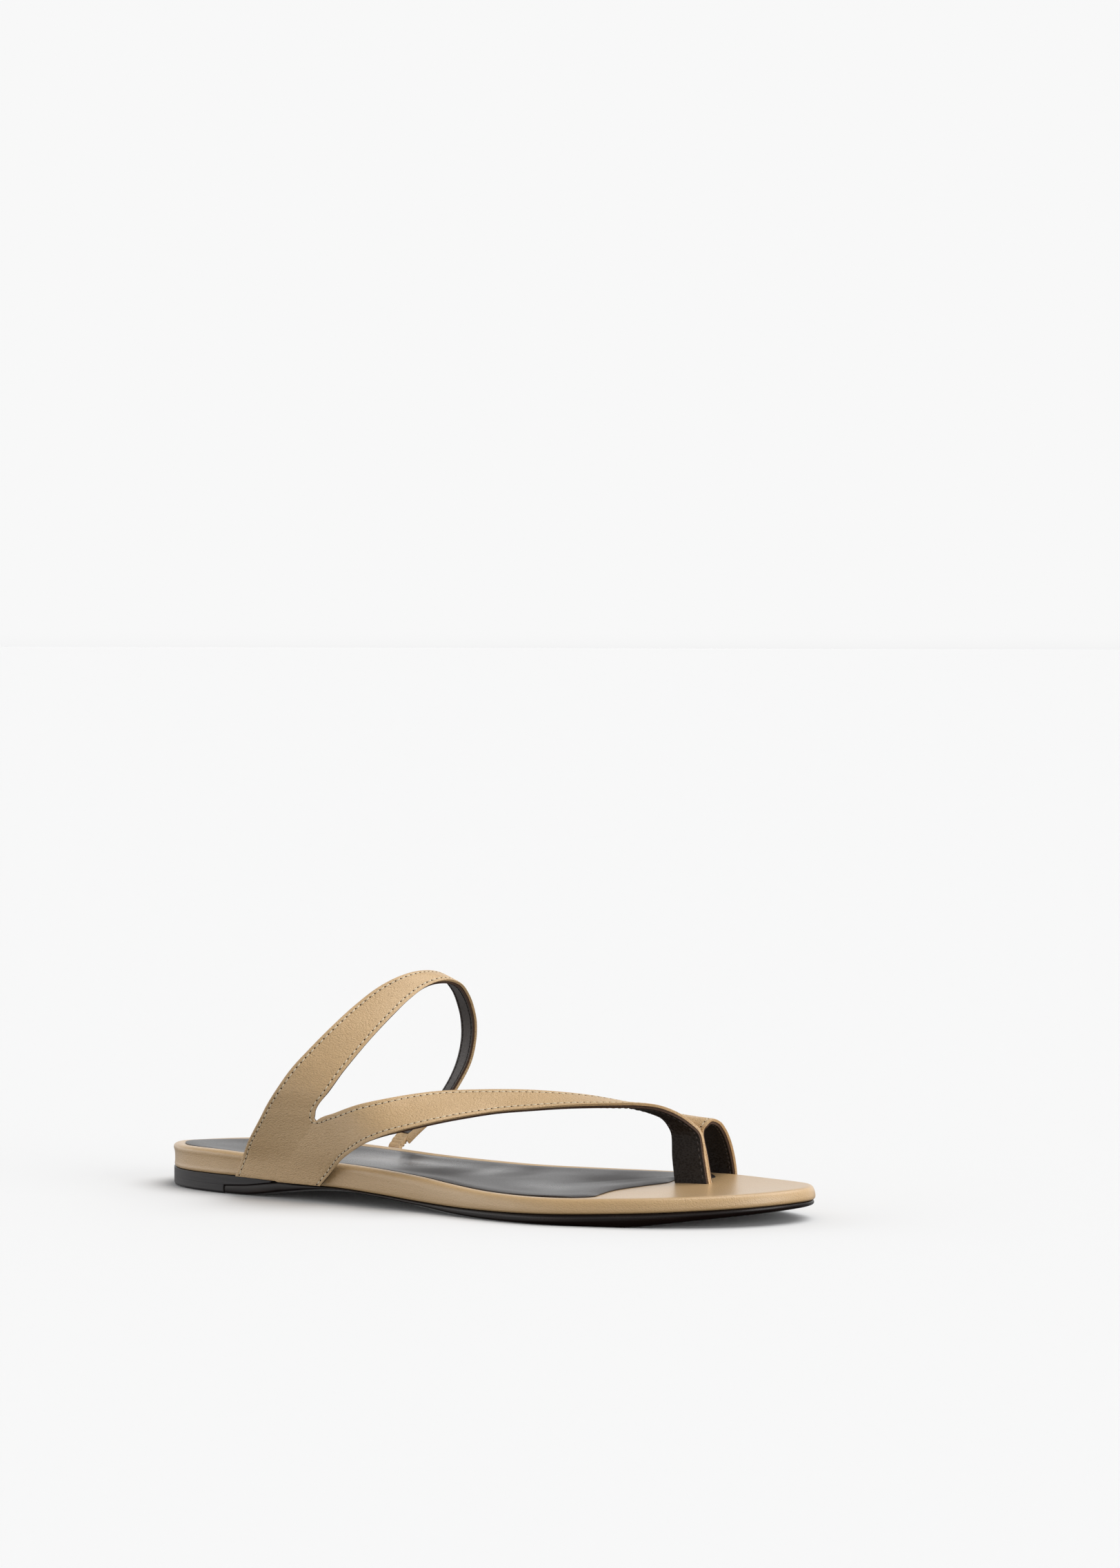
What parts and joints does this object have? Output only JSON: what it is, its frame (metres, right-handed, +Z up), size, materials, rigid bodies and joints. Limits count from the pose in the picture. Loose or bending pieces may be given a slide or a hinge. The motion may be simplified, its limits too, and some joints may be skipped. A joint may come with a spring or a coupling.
{
  "type": "flat sandal",
  "caption": "Flat leather sandal for the right foot with a forked strap over instep and forefoot, a thong with toe loop, a wrapped footbed, a dark insole and a low heel.",
  "frame": {"origin": "on the floor under the middle of the shoe's box", "axes": "+X from heel to toe, +Y to the inner (medial) side of the foot, +Z up from the floor"},
  "size_m": [0.2548, 0.0922, 0.081],
  "materials": {
    "beige_leather": "fine pebbled beige calf, satin",
    "sock_leather": "smooth dark brown leather, satin",
    "dark_leather": "dark burnished sole leather, half gloss",
    "heel_rubber": "dark heel rubber, satin"
  },
  "bodies": {
    "root": {"upper": "beige_leather", "elastic_tab": "beige_leather", "footbed": "beige_leather", "sock": "sock_leather", "outsole": "dark_leather", "heel_wedge": "dark_leather", "heel_top_piece": "heel_rubber"}
  },
  "joints": []
}
